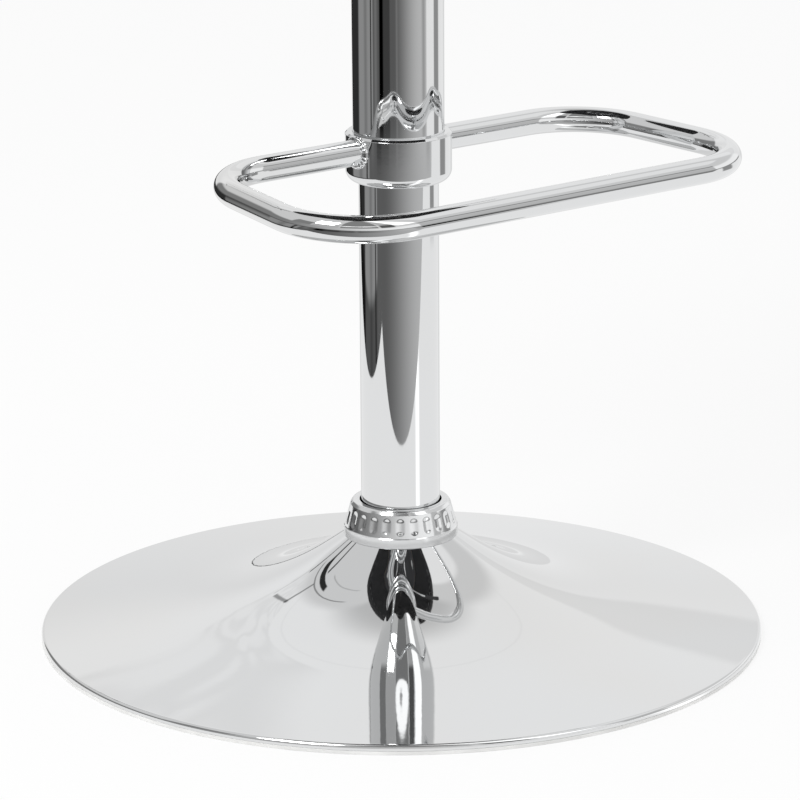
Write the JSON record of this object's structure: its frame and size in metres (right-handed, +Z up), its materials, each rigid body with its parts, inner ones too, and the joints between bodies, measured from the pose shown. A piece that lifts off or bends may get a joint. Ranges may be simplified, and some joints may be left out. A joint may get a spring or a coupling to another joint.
{
  "type": "swivel bar stool",
  "caption": "Swivel bar stool: round chromed trumpet base, telescoping gas-lift column, looped footrest on a collar, side release lever and a padded square seat.",
  "frame": {"origin": "on the floor, on the axis of the column, at the centre of the round base", "axes": "+Z up along the column; -Y is the front, the side that the footrest reaches to; +X is the side of the release lever"},
  "size_m": [0.45, 0.45, 0.7338],
  "materials": {
    "chrome": "polished",
    "polished_rod": "polished",
    "zinc_steel": "satin",
    "black_steel": "satin",
    "cast_iron": "matte",
    "floor_ring_plastic": "satin",
    "bush_plastic": "satin",
    "bump_rubber": "matte",
    "grip_plastic": "satin",
    "plywood": "matte",
    "dust_cloth": "matte",
    "foam": "matte",
    "vinyl": "satin"
  },
  "bodies": {
    "base": {"base_plate": "chrome", "floor_ring": "floor_ring_plastic", "base_weight": "cast_iron", "hub_socket": "zinc_steel", "hub_screws": "zinc_steel", "ring_cover": "chrome", "post_tube": "chrome", "post_foot": "zinc_steel", "anchor_washer": "zinc_steel", "anchor_nut": "zinc_steel", "bearing_plate": "zinc_steel", "thrust_washer_lower": "zinc_steel", "thrust_balls": "polished_rod", "ball_cage": "bush_plastic", "guide_bush": "bush_plastic"},
    "gas_core": {"piston_rod": "polished_rod", "rod_clip": "zinc_steel", "thrust_washer_upper": "zinc_steel", "bump_stop": "bump_rubber", "gas_piston": "bush_plastic", "piston_nut": "zinc_steel"},
    "seat": {"gas_cylinder": "black_steel", "cylinder_seal": "bush_plastic", "sleeve_tube": "chrome", "sleeve_bush": "bush_plastic", "footrest_collar": "chrome", "collar_screws": "zinc_steel", "footrest_loop": "chrome", "footrest_welds": "chrome", "top_collar": "chrome", "mount_hub": "zinc_steel", "mounting_plate": "black_steel", "lever_bracket": "black_steel", "lever_pin": "zinc_steel", "seat_board": "plywood", "tee_nuts": "zinc_steel", "seat_bolts": "zinc_steel", "seat_washers": "zinc_steel", "dust_cover": "dust_cloth", "seat_foam": "foam", "seat_cover": "vinyl", "welt_piping": "vinyl"},
    "lever": {"lever_rod": "polished_rod", "lever_grip": "grip_plastic"},
    "release_button": {"release_button": "zinc_steel"}
  },
  "joints": [
    {"name": "seat_swivel", "type": "hinge", "parent": "base", "child": "gas_core", "pos_m": [0, 0, 0.036], "axis": [0, 0, 1], "continuous": true},
    {"name": "seat_lift", "type": "slide", "parent": "gas_core", "child": "seat", "axis": [0, 0, 1], "range_m": [-0.145, 0.065]},
    {"name": "lever_lift", "type": "hinge", "parent": "seat", "child": "lever", "pos_m": [0.025, 0, 0.6334], "axis": [0, -1, 0], "range_deg": [0, 7], "stiffness_Nm_per_rad": 2, "springref_deg": -5.73},
    {"name": "button_press", "type": "slide", "parent": "seat", "child": "release_button", "axis": [0, 0, 1], "range_m": [-0.0032, 0]}
  ],
  "couplings": [
    {"joint": "button_press", "follows": "lever_lift", "m_per_rad": -0.025}
  ]
}
